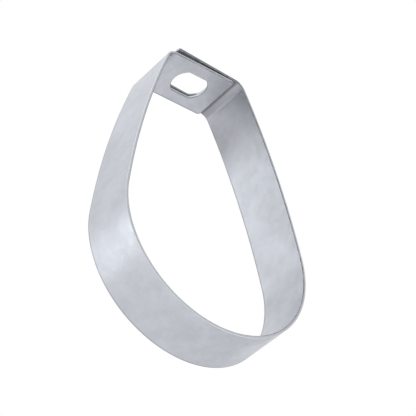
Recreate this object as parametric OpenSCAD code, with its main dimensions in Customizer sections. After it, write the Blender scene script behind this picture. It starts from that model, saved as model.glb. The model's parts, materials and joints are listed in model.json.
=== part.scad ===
// Pear-shaped pipe hanger band, bent from one strip of galvanised steel.
// The strip runs from the lower tab down the left side, round under the pipe, up the right side
// and over into the upper tab, which lies on the lower one. One slot in each tab takes the hanger rod.
// Millimetres. The origin is the pipe's centre at mid width, X is the pipe's axis, Y runs along the tabs, Z is up.

/* [Pipe] */
// Outside diameter of the pipe that the band carries
pipe_od = 88.9; // [73:0.1:114.3]
// Play between the pipe and the band, all round
pipe_play = 0.55; // [0.2:0.05:1.5]

/* [Strip] */
// Width of the strip
strip_w = 25.4; // [22:0.1:38]
// Thickness of the strip
strip_t = 1.2; // [0.8:0.1:2]
// Rounding of the strip's long edges
edge_r = 0.3; // [0.1:0.05:0.35]

/* [Loop] */
// Height of the lower tab's underside above the pipe's centre
tab_h = 92; // [82:0.5:125]
// Inside radius of the two long sides, which bow gently outwards
side_r = 392; // [300:1:600]
// Inside radius of the bend between a side and its tab
bend_r = 5; // [3:0.5:8]

/* [Tabs] */
// Half the flat length of a tab, from the rod's centre line to the start of the bend
tab_half = 15.8; // [13:0.1:20]
// Distance by which a tab's cut end stops short of the opposite bend
tab_end_gap = 0.2; // [0.1:0.05:1]
// Gap between the two tabs, over the lower tab's cut end
tab_gap = 0.5; // [0.3:0.05:1]
// Angle by which the upper tab stands open before the nuts close it
tab_open = 3.5; // [0:0.1:6]
// Radius of the corners at a tab's cut end
tab_corner_r = 1.5; // [0.5:0.1:4]

/* [Rod slot] */
// Width of the lower tab's slot, across the strip
slot_w = 13.2; // [9:0.1:16]
// Length of the lower tab's slot, along the strip
slot_l = 16.2; // [16.2:0.1:21]
// Extra room all round in the upper tab's slot
slot_ease = 0.7; // [0:0.1:1.2]

/* [Hidden] */
$fn = 96;
cut_over = 1;
ring_r = pipe_od / 2 + pipe_play;
// The opening angle on a cosine of six places, which keeps the turned tab true to its bend
open_angle = acos(round(1e6 * cos(tab_open)) / 1e6);

// Centre of the bend at the end of each side, as [along the tabs, up]
left_bend = [tab_half, tab_h - bend_r];
right_bend = [
    tab_half,
    tab_h + strip_t + tab_gap - (bend_r + tab_end_gap * sin(open_angle)) / cos(open_angle)
];

// Centre of the large arc that touches the ring round the origin and a bend, both from the outside
function side_centre(bend) =
    let (
        away = norm(bend),
        unit = bend / away,
        to_ring = side_r - ring_r,
        to_bend = side_r - bend_r,
        along = (to_ring * to_ring - to_bend * to_bend + away * away) / (2 * away),
        across = sqrt(to_ring * to_ring - along * along)
    )
    [unit[0] * along - unit[1] * across, unit[1] * along + unit[0] * across];

// Angle above the horizontal at which a side leaves the ring, and the angle at which its bend starts
function leave_angle(centre) = atan2(-centre[1], -centre[0]);
function bend_angle(centre, bend) = atan2(bend[1] - centre[1], bend[0] - centre[0]);

tab_l = 2 * tab_half - tab_end_gap;
reach = 2 * ring_r;

// Unit vector at an angle, a point on a ray, and a point's whole part in steps of a unit
function dir(angle) = [cos(angle), sin(angle)];
function ray(from, angle) = from + reach * dir(angle);
function whole(p, unit) = [for (c = p) round(c / unit) * unit];

// Cross-section of the strip: inner face on the Y axis, thickness along X, width along Y
module strip_section() {
    flat_w = strip_w - 2 * edge_r;
    flat_t = strip_t - 2 * edge_r;
    translate([0, -flat_w / 2]) square([strip_t, flat_w]);
    translate([edge_r, -strip_w / 2]) square([flat_t, strip_w]);
    for (side = [-1, 1])
        for (face = [edge_r, strip_t - edge_r])
            translate([face, side * flat_w / 2]) circle(r = edge_r, $fn = 32);
}

// Moves children to a point of the loop's plane, in falling steps so that neighbours meet exactly
module place(p) {
    coarse = whole(p, 1);
    fine = whole(p - coarse, 0.0001);
    rest = p - coarse - fine;
    translate([0, coarse[0], coarse[1]])
        translate([0, fine[0], fine[1]])
            translate([0, rest[0], rest[1]])
                children();
}

// Block over the full width of the strip, from an outline in the loop's plane
module block(points) {
    rotate([90, 0, 90])
        linear_extrude(strip_w + 2 * cut_over, center = true)
            polygon(points);
}

// The strip as a full hoop with its inner face at radius r round a centre
module hoop(centre, r) {
    place(centre)
        rotate([90, 0, 90])
            rotate_extrude($fn = 360)
                translate([r, 0]) strip_section();
}

// Outline of the rod slot, centred, with its length along X and its round ends
module slot_outline(ease) {
    straight = slot_l - slot_w;
    end_r = slot_w / 2 + ease;
    square([straight, 2 * end_r], center = true);
    for (side = [-1, 1])
        translate([side * straight / 2, 0]) circle(r = end_r);
}

// What is sheared off outside a rounded corner of a tab's cut end, with the corner at the origin
module corner_waste() {
    difference() {
        translate([-tab_corner_r, -tab_corner_r]) square(tab_corner_r + cut_over);
        translate([-tab_corner_r, -tab_corner_r]) circle(r = tab_corner_r);
    }
}

// Flat tab on the XY plane: the bend starts at the origin and the cut end is along +X
module tab(ease) {
    difference() {
        translate([-cut_over, 0, 0])
            rotate([90, 0, 90])
                linear_extrude(tab_l + cut_over)
                    rotate(90) mirror([0, 1]) strip_section();
        translate([tab_half, 0, -cut_over])
            linear_extrude(strip_t + 2 * cut_over) slot_outline(ease);
        for (side = [0, 1])
            mirror([0, side, 0])
                translate([tab_l, strip_w / 2, -cut_over])
                    linear_extrude(strip_t + 2 * cut_over) corner_waste();
    }
}

// One side of the loop, its bend and its tab, on the +Y side. Neighbours meet on the rays
// from the ring's centre and from the bend's centre.
module half_loop(centre, bend, open, ease) {
    leave = leave_angle(centre);
    start = bend_angle(centre, bend);
    finish = 90 - open;
    inward = reach * dir(finish + 90);
    intersection() {
        hoop(centre, side_r);
        block([[0, 0], ray([0, 0], leave), ray(bend, start), bend]);
    }
    intersection() {
        hoop(bend, bend_r);
        block([bend, ray(bend, start), ray(bend, (start + finish) / 2), ray(bend, finish)]);
    }
    intersection() {
        place(bend)
            rotate([-open, 0, 0])
                translate([0, 0, bend_r])
                    rotate([0, 0, -90]) tab(ease);
        block([bend, ray(bend, finish), ray(bend, finish) + inward, bend + inward]);
    }
}

// The ring under the pipe, open above the rays on which the two sides leave it
module ring(left_leave, right_leave) {
    left_ray = ray([0, 0], left_leave);
    intersection() {
        hoop([0, 0], ring_r);
        block([[0, 0], ray([0, 0], right_leave), [reach, -reach], [-reach, -reach], [-left_ray[0], left_ray[1]]]);
    }
}

module band() {
    left_centre = side_centre(left_bend);
    right_centre = side_centre(right_bend);
    color("#c5c9d1")
    union() {
        ring(leave_angle(left_centre), leave_angle(right_centre));
        half_loop(right_centre, right_bend, open_angle, slot_ease);
        mirror([0, 1, 0]) half_loop(left_centre, left_bend, 0, 0);
    }
}

band();
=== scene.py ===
"""Pear-shaped pipe hanger band, bent from one strip of galvanised steel, in a plain white studio.

The row frame: the origin is the pipe's centre at mid width, X is the pipe's axis, Y runs along the tabs, Z is up.
Blender works in metres. MM turns millimetres, in which the sizes below are written, into metres.
"""

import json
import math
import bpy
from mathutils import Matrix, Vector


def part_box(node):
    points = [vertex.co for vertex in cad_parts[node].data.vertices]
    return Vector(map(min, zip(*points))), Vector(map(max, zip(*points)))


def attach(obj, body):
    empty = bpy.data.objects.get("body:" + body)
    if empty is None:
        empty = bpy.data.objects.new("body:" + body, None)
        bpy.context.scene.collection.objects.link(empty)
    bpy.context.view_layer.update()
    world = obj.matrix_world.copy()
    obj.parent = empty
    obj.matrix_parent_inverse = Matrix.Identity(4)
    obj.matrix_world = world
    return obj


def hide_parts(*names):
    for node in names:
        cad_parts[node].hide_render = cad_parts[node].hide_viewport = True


bl_info = {
    "name": "Pipe hanger band",
    "version": (1, 0, 0),
    "blender": (4, 5, 0),
    "location": "3D View > Sidebar > Hanger",
    "description": "Bends a galvanised pipe hanger band from one strip, and sets up a white studio for it",
    "category": "Add Mesh",
}

import bmesh
import bpy
from bpy.props import FloatProperty, FloatVectorProperty, PointerProperty
from mathutils import Vector

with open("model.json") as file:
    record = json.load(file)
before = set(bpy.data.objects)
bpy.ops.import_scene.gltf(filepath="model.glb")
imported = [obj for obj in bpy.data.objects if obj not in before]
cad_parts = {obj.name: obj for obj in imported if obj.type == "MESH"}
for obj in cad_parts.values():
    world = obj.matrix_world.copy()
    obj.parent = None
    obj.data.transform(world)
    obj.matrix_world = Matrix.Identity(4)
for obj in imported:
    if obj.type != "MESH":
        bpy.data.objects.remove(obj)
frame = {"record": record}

MM = 0.001
NODE = "band"
BODY = "root"
# Places of the finishes in the band's list of materials
CUT_FACE = 1
CORNER = 2
# Attribute that says how much painted shade darkens the zinc
PAINTED_SHADE = "rubbed"

low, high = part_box(NODE)
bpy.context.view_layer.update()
mounts = {mount["name"]: mount for mount in frame["record"]["mounts"]}
seat_radius = mounts["pipe_seat"]["dims"]["r_mm"] * MM
slot_dims = mounts["rod_slot"]["dims"]
PIPE_AXIS = (1, 0, 0)


def linear(hex_colour):
    """The linear RGBA of an sRGB hex colour, such as #B4B8C0."""
    shares = [int(hex_colour[i:i + 2], 16) / 255 for i in (1, 3, 5)]
    return [s / 12.92 if s <= 0.04045 else ((s + 0.055) / 1.055) ** 2.4 for s in shares] + [1.0]


class BandSizes(bpy.types.PropertyGroup):
    """Sizes of the bent strip. Those that the frame holds take their defaults from its mounts and its box."""

    strip_width: FloatProperty(
        name="Strip width",
        description="Width of the strip, along the pipe",
        default=high.x - low.x,
        unit="LENGTH",
    )
    strip_thickness: FloatProperty(
        name="Strip thickness",
        description="Thickness of the strip",
        default=-low.z - seat_radius,
        unit="LENGTH",
    )
    ring_radius: FloatProperty(
        name="Ring radius",
        description="Inside radius of the round part that holds the pipe",
        default=seat_radius,
        unit="LENGTH",
    )
    tab_height: FloatProperty(
        name="Tab height",
        description="Height of the lower tab's underside above the pipe's centre",
        default=mounts["rod_slot"]["pos_m"][2],
        unit="LENGTH",
    )
    slot_width: FloatProperty(
        name="Slot width",
        description="Width of the lower tab's rod slot, across the strip",
        default=2 * slot_dims["hole_r_mm"] * MM,
        unit="LENGTH",
    )
    slot_length: FloatProperty(
        name="Slot length",
        description="Length of the lower tab's rod slot, along the strip",
        default=slot_dims["slot_length_mm"] * MM,
        unit="LENGTH",
    )
    slot_corner: FloatProperty(
        name="Slot corner",
        description="How far the slot's corners, where its flats meet its round ends, are worn off",
        default=1.6 * MM,
        unit="LENGTH",
    )
    slot_ease: FloatProperty(
        name="Slot ease",
        description="Extra room all round in the upper tab's slot",
        default=0.7 * MM,
        unit="LENGTH",
    )
    side_radius: FloatProperty(
        name="Side radius",
        description="Inside radius of the two long sides, which bow gently outwards",
        default=392 * MM,
        unit="LENGTH",
    )
    bend_radius: FloatProperty(
        name="Bend radius",
        description="Inside radius of the bend between a side and its tab",
        default=5 * MM,
        unit="LENGTH",
    )
    tab_half: FloatProperty(
        name="Half tab",
        description="Distance from the rod's centre line to the start of a bend",
        default=15.8 * MM,
        unit="LENGTH",
    )
    end_gap: FloatProperty(
        name="End gap",
        description="Distance by which a tab's cut end stops short of the opposite bend",
        default=0.2 * MM,
        unit="LENGTH",
    )
    tab_gap: FloatProperty(
        name="Tab gap",
        description="Gap between the two tabs over the lower tab's cut end",
        default=0.5 * MM,
        unit="LENGTH",
    )
    tab_open: FloatProperty(
        name="Tab opening",
        description="Angle by which the upper tab stands open",
        default=math.radians(3.5),
        subtype="ANGLE",
    )
    corner_radius: FloatProperty(
        name="Corner radius",
        description="Radius of the corners at a tab's cut end",
        default=1.5 * MM,
        unit="LENGTH",
    )
    edge_radius: FloatProperty(
        name="Edge radius",
        description="Rounding that the shears and the zinc leave on the strip's outer edges",
        default=0.3 * MM,
        unit="LENGTH",
    )
    rim_radius: FloatProperty(
        name="Slot rim radius",
        description="Rounding that the punch and the zinc leave on the rims of the slots",
        default=0.2 * MM,
        unit="LENGTH",
    )


class ZincFinish(bpy.types.PropertyGroup):
    """Colours and grain of the galvanised surface and of its sheared edges, and the colours of painted shade on them.
    """

    bright: FloatVectorProperty(
        name="Bright zinc",
        description="Colour of the brighter zinc crystals",
        default=linear("#C2C5CC"),
        size=4,
        subtype="COLOR",
    )
    dull: FloatVectorProperty(
        name="Dull zinc",
        description="Colour of the duller zinc crystals",
        default=linear("#B2B5BB"),
        size=4,
        subtype="COLOR",
    )
    sheared: FloatVectorProperty(
        name="Sheared edge",
        description="Colour of the sheared edges, where the zinc is thin over pale, freshly cut steel",
        default=linear("#C8CACE"),
        size=4,
        subtype="COLOR",
    )
    # Partly the burr's darker steel and partly painted shade along the edges inside the loop.
    corner: FloatVectorProperty(
        name="Burred corner",
        description="Colour of the corners of the strip, where the burr has rubbed darker",
        default=linear("#7C7E83"),
        size=4,
        subtype="COLOR",
    )
    # This colour is painted shade: the painted-shade attribute mixes it into the zinc inside the bends, in the crevice
    # at the lower tab's end and on the upper tab's long cut faces.
    rubbed: FloatVectorProperty(
        name="Rubbed zinc",
        description="Colour of the zinc where tools have rubbed it and dirt has stayed",
        default=linear("#6E6F73"),
        size=4,
        subtype="COLOR",
    )
    spangle: FloatProperty(
        name="Spangle size",
        description="Width of a zinc crystal",
        default=2.6 * MM,
        unit="LENGTH",
    )
    cloud: FloatProperty(
        name="Cloud size",
        description="Width of the soft clouds in the zinc",
        default=14 * MM,
        unit="LENGTH",
    )
    grain: FloatProperty(
        name="Grain size",
        description="Width of the fine grain in the zinc",
        default=0.5 * MM,
        unit="LENGTH",
    )


class StudioLook(bpy.types.PropertyGroup):
    """The floor, and the strength of the even light from all round."""

    floor_depth: FloatProperty(
        name="Floor depth",
        description="Height of the floor, which lies below the camera because the band hangs above it",
        default=-0.75,
        unit="LENGTH",
    )
    floor_size: FloatProperty(
        name="Floor size",
        description="Width of the floor",
        default=12.0,
        unit="LENGTH",
    )
    floor_colour: FloatVectorProperty(
        name="Floor colour",
        description="Colour of the pale floor",
        default=linear("#F6F6F6"),
        size=4,
        subtype="COLOR",
    )
    ambient: FloatProperty(
        name="Ambient light",
        description="Strength of the even light from all round",
        default=1.0,
    )


def side_centre(sizes, bend):
    """Centre of the large arc that touches the ring and a bend, both from the outside, in the YZ plane."""
    away = bend.length
    unit = bend / away
    to_ring = sizes.side_radius - sizes.ring_radius
    to_bend = sizes.side_radius - sizes.bend_radius
    along = (to_ring ** 2 - to_bend ** 2 + away ** 2) / (2 * away)
    across = math.sqrt(to_ring ** 2 - along ** 2)
    return Vector((unit.x * along - unit.y * across, unit.y * along + unit.x * across))


def mirrored(point):
    """The point on the other side of the rod's centre line."""
    return Vector((-point.x, point.y))


def tab_length(sizes):
    """Flat length of a tab, from its bend to its cut end."""
    return 2 * sizes.tab_half - sizes.end_gap


def right_bend_centre(sizes):
    """Centre of the upper tab's bend, so high that the tab clears the lower tab's cut end by the gap."""
    rise = (sizes.bend_radius + sizes.end_gap * math.sin(sizes.tab_open)) / math.cos(sizes.tab_open)
    return Vector((sizes.tab_half, sizes.tab_height + sizes.strip_thickness + sizes.tab_gap - rise))


def turns_of_loop(sizes):
    """The loop's bends from the lower tab round to the upper one, each as (centre in YZ, radius, angle)."""
    left_bend = Vector((sizes.tab_half, sizes.tab_height - sizes.bend_radius))
    right_bend = right_bend_centre(sizes)
    left_side = side_centre(sizes, left_bend)
    right_side = side_centre(sizes, right_bend)
    quarter = math.pi / 2
    left_leave = math.atan2(-left_side.y, -left_side.x)
    right_leave = math.atan2(-right_side.y, -right_side.x)
    left_start = math.atan2(left_bend.y - left_side.y, left_bend.x - left_side.x)
    right_start = math.atan2(right_bend.y - right_side.y, right_bend.x - right_side.x)
    return [
        (mirrored(left_bend), sizes.bend_radius, quarter - left_start),
        (mirrored(left_side), sizes.side_radius, left_start - left_leave),
        (Vector((0, 0)), sizes.ring_radius, 2 * quarter + left_leave + right_leave),
        (right_side, sizes.side_radius, right_start - right_leave),
        (right_bend, sizes.bend_radius, quarter - sizes.tab_open - right_start),
    ]


def steps_of_arc(radius, angle):
    """How many straight steps keep an arc within a hundredth of a millimetre of its true form."""
    chord_error = 0.01 * MM
    return math.ceil(angle / (2 * math.acos(1 - chord_error / radius)))


def select_vertices(piece, wanted):
    """In edit mode, selects the vertices whose place passes a test, and nothing else."""
    bpy.ops.mesh.select_mode(type="VERT")
    bpy.ops.mesh.select_all(action="DESELECT")
    shape = bmesh.from_edit_mesh(piece.data)
    for vertex in shape.verts:
        vertex.select_set(wanted(vertex.co))
    shape.select_flush(True)
    bmesh.update_edit_mesh(piece.data)


def apply_modifier(piece, kind, **settings):
    """Adds a modifier with its settings to a piece and applies it."""
    modifier = piece.modifiers.new(kind.title(), kind)
    for name, value in settings.items():
        setattr(modifier, name, value)
    bpy.context.view_layer.objects.active = piece
    bpy.ops.object.modifier_apply(modifier=modifier.name)


def bend_inner_face(sizes):
    """The strip's inner face as one open sheet: a plane as the lower tab, spun round each bend of the loop."""
    hair = 0.01 * MM
    width = sizes.strip_width
    bend_y = -sizes.tab_half
    end_y = bend_y + tab_length(sizes)
    bpy.ops.object.select_all(action="DESELECT")
    bpy.ops.mesh.primitive_plane_add(size=width, location=(0, bend_y + width / 2, sizes.tab_height))
    piece = bpy.context.object
    piece.name = "hanger_band"
    bpy.ops.object.transform_apply(location=True, rotation=True, scale=True)
    bpy.ops.object.mode_set(mode="EDIT")
    select_vertices(piece, lambda place: place.y > bend_y + hair)
    bpy.ops.transform.translate(value=(0, end_y - bend_y - width, 0))
    select_vertices(piece, lambda place: place.y < bend_y + hair)
    for centre, radius, angle in turns_of_loop(sizes):
        bpy.ops.mesh.spin(
            steps=steps_of_arc(radius, angle),
            angle=angle,
            center=(0, centre.x, centre.y),
            axis=(-PIPE_AXIS[0], 0, 0),
        )
    along_tab = Vector((0, -math.cos(sizes.tab_open), math.sin(sizes.tab_open)))
    bpy.ops.mesh.extrude_region_move(TRANSFORM_OT_translate={"value": along_tab * tab_length(sizes)})
    bpy.ops.mesh.bevel(offset=sizes.corner_radius, segments=6, affect="VERTICES")
    select_vertices(piece, lambda place: place.y > end_y - hair and abs(place.z - sizes.tab_height) < hair)
    bpy.ops.mesh.bevel(offset=sizes.corner_radius, segments=6, affect="VERTICES")
    bpy.ops.mesh.select_all(action="SELECT")
    bpy.ops.mesh.remove_doubles(threshold=hair / 10)
    bpy.ops.mesh.normals_make_consistent(inside=False)
    lowest = min(bmesh.from_edit_mesh(piece.data).faces, key=lambda face: face.calc_center_median().z)
    if lowest.normal.z > 0:
        bpy.ops.mesh.flip_normals()
    bpy.ops.object.mode_set(mode="OBJECT")
    return piece


def thicken(piece, sizes):
    """Gives the sheet its thickness outwards, and rounds the sheared outer edges."""
    apply_modifier(
        piece,
        "SOLIDIFY",
        thickness=sizes.strip_thickness,
        offset=1,
        use_even_offset=True,
        material_offset_rim=CUT_FACE,
    )
    round_sharp_edges(piece, sizes, sizes.edge_radius)


def looks_inwards(place, normal, sizes):
    """Whether a point of the band faces the inside of the loop."""
    return normal.y * -place.y + normal.z * (sizes.tab_height / 2 - place.z) > 0


def round_sharp_edges(piece, sizes, radius):
    """Rounds every edge at which two faces meet at more than 60 degrees.

    The corners inside the loop get the dark corner finish, partly burr and partly painted shade, and those outside are
    as bright as the cut face.
    """
    bpy.context.view_layer.objects.active = piece
    bpy.ops.object.mode_set(mode="EDIT")
    bpy.ops.mesh.select_mode(type="EDGE")
    bpy.ops.mesh.select_all(action="DESELECT")
    bpy.ops.mesh.edges_select_sharp(sharpness=math.radians(60))
    bpy.ops.mesh.bevel(offset=radius, segments=3, material=CORNER)
    bpy.ops.object.mode_set(mode="OBJECT")
    for face in piece.data.polygons:
        if face.material_index == CORNER and not looks_inwards(face.center, face.normal, sizes):
            face.material_index = CUT_FACE


def punch_slot(piece, sizes, centre, tilt, ease, finishes):
    """Cuts one rod slot square through a tab: a disc of the slot's length, cut off flat on both sides to its width."""
    spare = 0.3 * MM
    depth = sizes.strip_thickness + 2 * spare
    half_width = sizes.slot_width / 2 + ease
    bpy.ops.object.select_all(action="DESELECT")
    bpy.ops.mesh.primitive_circle_add(
        vertices=96,
        radius=sizes.slot_length / 2 + ease,
        fill_type="NGON",
        location=(0, 0, -depth / 2),
    )
    cutter = bpy.context.object
    for finish in finishes:
        cutter.data.materials.append(finish)
    bpy.ops.object.transform_apply(location=True, rotation=True, scale=True)
    bpy.ops.object.mode_set(mode="EDIT")
    for side in (-1, 1):
        bpy.ops.mesh.select_all(action="SELECT")
        bpy.ops.mesh.bisect(plane_co=(side * half_width, 0, 0), plane_no=(side, 0, 0), clear_outer=True)
    select_vertices(cutter, lambda place: abs(place.x) > half_width - 0.01 * MM)
    bpy.ops.mesh.bevel(offset=sizes.slot_corner, segments=5, affect="VERTICES")
    bpy.ops.mesh.select_all(action="SELECT")
    bpy.ops.mesh.extrude_region_move(TRANSFORM_OT_translate={"value": (0, 0, depth)})
    bpy.ops.mesh.select_all(action="SELECT")
    bpy.ops.mesh.normals_make_consistent(inside=False)
    cutter.active_material_index = CUT_FACE
    bpy.ops.object.material_slot_assign()
    bpy.ops.object.mode_set(mode="OBJECT")
    cutter.location = centre
    cutter.rotation_euler = (tilt, 0, 0)
    apply_modifier(piece, "BOOLEAN", object=cutter, operation="DIFFERENCE", solver="EXACT")
    bpy.data.objects.remove(cutter)


def paint_shade(piece, sizes):
    """Notes on each vertex how much painted shade darkens the zinc: most inside the bends, and fading
    along the sides, in the crevice at the lower tab's end, and on the long edges of the upper tab."""
    # The attribute holds each vertex's share of painted shade.
    rubbed = piece.data.attributes.new(PAINTED_SHADE, "FLOAT", "POINT")
    hair = 0.05 * MM
    fade_top = right_bend_centre(sizes).y
    fade = 30 * MM
    crevice_bottom = sizes.tab_height + sizes.strip_thickness
    tab_top = sizes.tab_height + sizes.strip_thickness + sizes.tab_gap / 2
    for vertex in piece.data.vertices:
        place = vertex.co
        inner = looks_inwards(place, vertex.normal, sizes)
        share = 0.0
        # Painted shade inside the bends, fading down the sides, weaker on the left side and towards the +X edge.
        if inner and abs(place.y) > sizes.tab_half + hair:
            share = 0.6 * max(0.0, min(1.0, (place.z - fade_top + fade) / (0.65 * fade)))
            if place.z > fade_top:
                share = 0.45
            if place.y < 0:
                share *= 0.3
            share *= 1 - 0.7 * place.x / sizes.strip_width
            # Painted shadow in the crevice between the tabs, over the lower tab's cut end.
            if place.z > crevice_bottom + 2 * hair:
                share = 0.9
        # Painted shade on the upper tab's long cut faces.
        elif place.z > tab_top and abs(vertex.normal.x) > 0.5:
            share = 0.75
        rubbed.data[vertex.index].value = share


def add_node(tree, kind, inputs=None, **settings):
    """Adds a node to a tree. inputs maps a socket to its value or to the output that feeds it."""
    node = tree.nodes.new(kind)
    for name, value in settings.items():
        setattr(node, name, value)
    for name, value in (inputs or {}).items():
        if isinstance(value, bpy.types.NodeSocket):
            tree.links.new(value, node.inputs[name])
        else:
            node.inputs[name].default_value = value
    return node


def new_material(name):
    """A material with an empty node tree, and that tree."""
    material = bpy.data.materials.new(name)
    material.use_nodes = True
    material.node_tree.nodes.clear()
    return material, material.node_tree


def galvanised_sheet(finish, half_width):
    """Hot-dip galvanised steel sheet with a small, flat spangle.

    The zinc froze from a bath, so its crystals differ a little in tone and in gloss, larger soft clouds lie
    over them, and a fine grain keeps reflections satin instead of sharp. A dark line of painted shade runs
    along the back edge, and painted shade from the painted-shade attribute darkens the zinc inside the bends,
    in the crevice at the lower tab's end and along the upper tab's long edges.
    """
    material, tree = new_material("hot_dip_galvanised_steel_satin")
    place = add_node(tree, "ShaderNodeTexCoord").outputs["Object"]
    crystals = add_node(
        tree,
        "ShaderNodeTexVoronoi",
        {"Vector": place, "Scale": 1 / finish.spangle},
    )
    crystal_tone = add_node(tree, "ShaderNodeSeparateColor", {"Color": crystals.outputs["Color"]})
    clouds = add_node(
        tree,
        "ShaderNodeTexNoise",
        {"Vector": place, "Scale": 1 / finish.cloud, "Detail": 3.0, "Roughness": 0.6},
    )
    grain = add_node(
        tree,
        "ShaderNodeTexNoise",
        {"Vector": place, "Scale": 1 / finish.grain, "Detail": 2.0},
    )
    cloud_share = add_node(
        tree,
        "ShaderNodeMapRange",
        {"Value": clouds.outputs["Fac"], "From Min": 0.35, "From Max": 0.65, "To Min": 0.1, "To Max": 0.7},
    )
    tone = add_node(
        tree,
        "ShaderNodeMath",
        {0: crystal_tone.outputs["Red"], 1: 0.3, 2: cloud_share.outputs["Result"]},
        operation="MULTIPLY_ADD",
    )
    colour = add_node(
        tree,
        "ShaderNodeMix",
        {"Factor": tone.outputs["Value"], "A": finish.dull, "B": finish.bright},
        data_type="RGBA",
    )
    # Painted shade: a dark line, about 0.9 mm wide, along the back (-X) edge of the sheet.
    across = add_node(tree, "ShaderNodeSeparateXYZ", {"Vector": place})
    to_back = add_node(tree, "ShaderNodeMath", {0: across.outputs["X"], 1: -1.0}, operation="MULTIPLY")
    painted_edge_shade = add_node(
        tree,
        "ShaderNodeMapRange",
        {
            "Value": to_back.outputs["Value"],
            "From Min": half_width - 0.9 * MM,
            "From Max": half_width - 0.6 * MM,
            "To Min": 0.0,
            "To Max": 0.45,
        },
    )
    # The painted-shade attribute, made uneven by the clouds, mixes the painted shade colour into the zinc.
    rubbed = add_node(tree, "ShaderNodeAttribute", attribute_name=PAINTED_SHADE)
    patches = add_node(
        tree,
        "ShaderNodeMapRange",
        {"Value": clouds.outputs["Fac"], "From Min": 0.35, "From Max": 0.65, "To Min": 0.8, "To Max": 1.1},
    )
    patchy_painted_shade = add_node(
        tree,
        "ShaderNodeMath",
        {0: rubbed.outputs["Fac"], 1: patches.outputs["Result"]},
        operation="MULTIPLY",
    )
    # The larger of the two painted shades: the back-edge line and the attribute's share.
    worn = add_node(
        tree,
        "ShaderNodeMath",
        {0: painted_edge_shade.outputs["Result"], 1: patchy_painted_shade.outputs["Value"]},
        operation="MAXIMUM",
    )
    painted_shade_colour = add_node(
        tree,
        "ShaderNodeMix",
        {"Factor": worn.outputs["Value"], "A": colour.outputs["Result"], "B": finish.rubbed},
        data_type="RGBA",
    )
    roughness = add_node(
        tree,
        "ShaderNodeMapRange",
        {"Value": tone.outputs["Value"], "From Min": 0.1, "From Max": 1.0, "To Min": 0.46, "To Max": 0.38},
    )
    waves = add_node(
        tree,
        "ShaderNodeBump",
        {"Height": clouds.outputs["Fac"], "Strength": 1.0, "Distance": 0.12 * MM},
    )
    facets = add_node(
        tree,
        "ShaderNodeBump",
        {
            "Height": crystals.outputs["Distance"],
            "Strength": 1.0,
            "Distance": 0.02 * MM,
            "Normal": waves.outputs["Normal"],
        },
    )
    pores = add_node(
        tree,
        "ShaderNodeBump",
        {
            "Height": grain.outputs["Fac"],
            "Strength": 1.0,
            "Distance": 0.01 * MM,
            "Normal": facets.outputs["Normal"],
        },
    )
    shader = add_node(
        tree,
        "ShaderNodeBsdfPrincipled",
        {
            "Base Color": painted_shade_colour.outputs["Result"],
            "Metallic": 1.0,
            "Roughness": roughness.outputs["Result"],
            "Normal": pores.outputs["Normal"],
        },
    )
    add_node(tree, "ShaderNodeOutputMaterial", {"Surface": shader.outputs["BSDF"]})
    return material


def sheared_edge(finish):
    """Sheared and punched steel edge under thin zinc: as pale as the sheet but duller, and torn across its thickness."""
    material, tree = new_material("sheared_steel_edge_dull")
    place = add_node(tree, "ShaderNodeTexCoord").outputs["Object"]
    tear = add_node(
        tree,
        "ShaderNodeTexNoise",
        {"Vector": place, "Scale": 1 / (0.7 * MM), "Detail": 3.0},
    )
    colour = add_node(
        tree,
        "ShaderNodeMix",
        {"Factor": tear.outputs["Fac"], "A": finish.sheared, "B": finish.dull},
        data_type="RGBA",
    )
    # The painted-shade attribute mixes the painted shade colour into the cut faces too.
    rubbed = add_node(tree, "ShaderNodeAttribute", attribute_name=PAINTED_SHADE)
    painted_shade_colour = add_node(
        tree,
        "ShaderNodeMix",
        {"Factor": rubbed.outputs["Fac"], "A": colour.outputs["Result"], "B": finish.rubbed},
        data_type="RGBA",
    )
    bump = add_node(
        tree,
        "ShaderNodeBump",
        {"Height": tear.outputs["Fac"], "Strength": 1.0, "Distance": 0.04 * MM},
    )
    shader = add_node(
        tree,
        "ShaderNodeBsdfPrincipled",
        {
            "Base Color": painted_shade_colour.outputs["Result"],
            "Metallic": 1.0,
            "Roughness": 0.6,
            "Normal": bump.outputs["Normal"],
        },
    )
    add_node(tree, "ShaderNodeOutputMaterial", {"Surface": shader.outputs["BSDF"]})
    return material


def burr_and_painted_shade_corner(finish):
    """Corners of sheared steel: a dark matt line follows the edges, partly the burr that has rubbed through the zinc
    and partly painted shade.
    """
    material, tree = new_material("steel_burr_and_painted_shade_dark")
    place = add_node(tree, "ShaderNodeTexCoord").outputs["Object"]
    wear = add_node(
        tree,
        "ShaderNodeTexNoise",
        {"Vector": place, "Scale": 1 / (4 * MM), "Detail": 4.0, "Roughness": 0.7},
    )
    wear_share = add_node(
        tree,
        "ShaderNodeMapRange",
        {"Value": wear.outputs["Fac"], "From Min": 0.45, "From Max": 0.75, "To Min": 0.0, "To Max": 1.0},
    )
    colour = add_node(
        tree,
        "ShaderNodeMix",
        {"Factor": wear_share.outputs["Result"], "A": finish.corner, "B": finish.dull},
        data_type="RGBA",
    )
    shader = add_node(
        tree,
        "ShaderNodeBsdfPrincipled",
        {"Base Color": colour.outputs["Result"], "Metallic": 1.0, "Roughness": 0.6},
    )
    add_node(tree, "ShaderNodeOutputMaterial", {"Surface": shader.outputs["BSDF"]})
    return material


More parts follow.
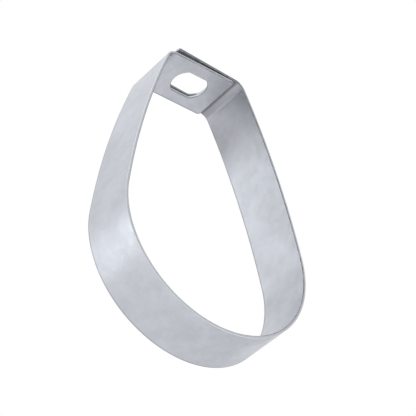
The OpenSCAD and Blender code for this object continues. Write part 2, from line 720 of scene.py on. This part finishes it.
class HANGER_OT_band(bpy.types.Operator):
    """Bend the band from one strip, punch its rod slots and give it its zinc"""

    bl_idname = "hanger.band"
    bl_label = "Band"

    def execute(self, context):
        sizes = context.scene.hanger_band
        finish = context.scene.hanger_zinc
        finishes = [galvanised_sheet(finish, sizes.strip_width / 2), sheared_edge(finish), burr_and_painted_shade_corner(finish)]
        piece = bend_inner_face(sizes)
        for material in finishes:
            piece.data.materials.append(material)
        thicken(piece, sizes)
        middle = sizes.strip_thickness / 2
        lower_centre = Vector((0, 0, sizes.tab_height + middle))
        bend = right_bend_centre(sizes)
        outwards = Vector((0, math.sin(sizes.tab_open), math.cos(sizes.tab_open)))
        along_tab = Vector((0, -outwards.z, outwards.y))
        bend_centre = Vector((0, bend.x, bend.y))
        upper_centre = bend_centre + outwards * (sizes.bend_radius + middle) + along_tab * sizes.tab_half
        punch_slot(piece, sizes, lower_centre, 0, 0, finishes)
        punch_slot(piece, sizes, upper_centre, -sizes.tab_open, sizes.slot_ease, finishes)
        round_sharp_edges(piece, sizes, sizes.rim_radius)
        # Paints shade into the band through the painted-shade attribute.
        paint_shade(piece, sizes)
        bpy.ops.object.select_all(action="DESELECT")
        piece.select_set(True)
        bpy.ops.object.shade_smooth_by_angle(angle=math.radians(35))
        apply_modifier(piece, "WEIGHTED_NORMAL", keep_sharp=True, weight=50)
        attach(piece, BODY)
        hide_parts(NODE)
        return {"FINISHED"}


def point_lamp(name, azimuth, elevation, distance, size, power):
    """A soft square lamp that looks at the band's middle from a direction, in degrees from +X towards +Y."""
    target = Vector((0, 0, 25 * MM))
    turn, rise = math.radians(azimuth), math.radians(elevation)
    away = Vector((math.cos(rise) * math.cos(turn), math.cos(rise) * math.sin(turn), math.sin(rise)))
    bpy.ops.object.light_add(type="AREA", location=target + away * distance)
    lamp = bpy.context.object
    lamp.name = name
    lamp.data.size = size
    lamp.data.energy = power
    lamp.rotation_euler = away.to_track_quat("Z", "Y").to_euler()


def white_world(scene, look):
    """White where the camera, a reflection or a refraction sees it, and a plain even light on everything else."""
    world = bpy.data.worlds.new("white_studio")
    scene.world = world
    world.use_nodes = True
    tree = world.node_tree
    tree.nodes.clear()
    path = add_node(tree, "ShaderNodeLightPath")
    seen = path.outputs["Is Camera Ray"]
    for ray in ("Is Glossy Ray", "Is Transmission Ray"):
        either = add_node(tree, "ShaderNodeMath", {0: seen, 1: path.outputs[ray]}, operation="MAXIMUM")
        seen = either.outputs["Value"]
    light = add_node(tree, "ShaderNodeBackground", {"Color": linear("#FFFFFF"), "Strength": look.ambient})
    white = add_node(tree, "ShaderNodeBackground", {"Color": linear("#FFFFFF"), "Strength": 1.0})
    chosen = add_node(
        tree,
        "ShaderNodeMixShader",
        {0: seen, 1: light.outputs["Background"], 2: white.outputs["Background"]},
    )
    add_node(tree, "ShaderNodeOutputWorld", {"Surface": chosen.outputs["Shader"]})


def matt_floor(look):
    """Matt white studio board, with the faint unevenness of its paint."""
    material, tree = new_material("matt_white_studio_board")
    place = add_node(tree, "ShaderNodeTexCoord").outputs["Object"]
    paint = add_node(tree, "ShaderNodeTexNoise", {"Vector": place, "Scale": 1 / (30 * MM), "Detail": 2.0})
    bump = add_node(
        tree,
        "ShaderNodeBump",
        {"Height": paint.outputs["Fac"], "Strength": 0.2, "Distance": 0.5 * MM},
    )
    shader = add_node(
        tree,
        "ShaderNodeBsdfPrincipled",
        {"Base Color": look.floor_colour, "Roughness": 0.9, "Normal": bump.outputs["Normal"]},
    )
    add_node(tree, "ShaderNodeOutputMaterial", {"Surface": shader.outputs["BSDF"]})
    return material


class HANGER_OT_studio(bpy.types.Operator):
    """Set up the camera at the photograph's angle, the soft lamps, the white surround and the pale floor"""

    bl_idname = "hanger.studio"
    bl_label = "Studio"

    def execute(self, context):
        scene = context.scene
        look = scene.hanger_studio
        scene.view_settings.view_transform = "Standard"
        camera_place = Vector((410.6, -352.0, -411.1)) * MM
        camera_turn = [math.radians(angle) for angle in (128.781, 3.004, 51.304)]
        bpy.ops.object.camera_add(location=camera_place, rotation=camera_turn)
        camera = bpy.context.object
        camera.name = "camera"
        camera.data.lens = 145.1
        camera.data.sensor_width = 36
        camera.data.clip_start = 10 * MM
        scene.camera = camera
        white_world(scene, look)
        point_lamp("key_left", -105, 0, 0.7, 0.35, 1.15)
        point_lamp("low_left", -90, -50, 0.7, 0.35, 0.9)
        point_lamp("high_left", -90, 65, 0.7, 0.35, 1.3)
        point_lamp("low_right", 60, -50, 0.7, 0.35, 1.35)
        bpy.ops.mesh.primitive_plane_add(size=look.floor_size, location=(0, 0, look.floor_depth))
        floor = bpy.context.object
        floor.name = "floor"
        floor.data.materials.append(matt_floor(look))
        return {"FINISHED"}


class HANGER_PT_sidebar(bpy.types.Panel):
    """Lists the steps of the hanger band, with their sizes and colours"""

    bl_idname = "HANGER_PT_sidebar"
    bl_label = "Pipe hanger band"
    bl_space_type = "VIEW_3D"
    bl_region_type = "UI"
    bl_category = "Hanger"

    def draw(self, context):
        layout = self.layout
        for group in (context.scene.hanger_band, context.scene.hanger_zinc, context.scene.hanger_studio):
            box = layout.box()
            for name in group.__annotations__:
                box.prop(group, name)
        for operator in (HANGER_OT_band, HANGER_OT_studio):
            layout.operator(operator.bl_idname)


GROUPS = {"hanger_band": BandSizes, "hanger_zinc": ZincFinish, "hanger_studio": StudioLook}
CLASSES = (*GROUPS.values(), HANGER_OT_band, HANGER_OT_studio, HANGER_PT_sidebar)


def register():
    """Registers the classes and hangs the property groups on the scene."""
    for cls in CLASSES:
        bpy.utils.register_class(cls)
    for name, group in GROUPS.items():
        setattr(bpy.types.Scene, name, PointerProperty(type=group))


def unregister():
    """Takes away what register added."""
    for name in GROUPS:
        delattr(bpy.types.Scene, name)
    for cls in reversed(CLASSES):
        bpy.utils.unregister_class(cls)


def main():
    """Builds the piece and the stage."""
    register()
    bpy.ops.hanger.studio()
    bpy.ops.hanger.band()


if __name__ == "__main__":
    main()
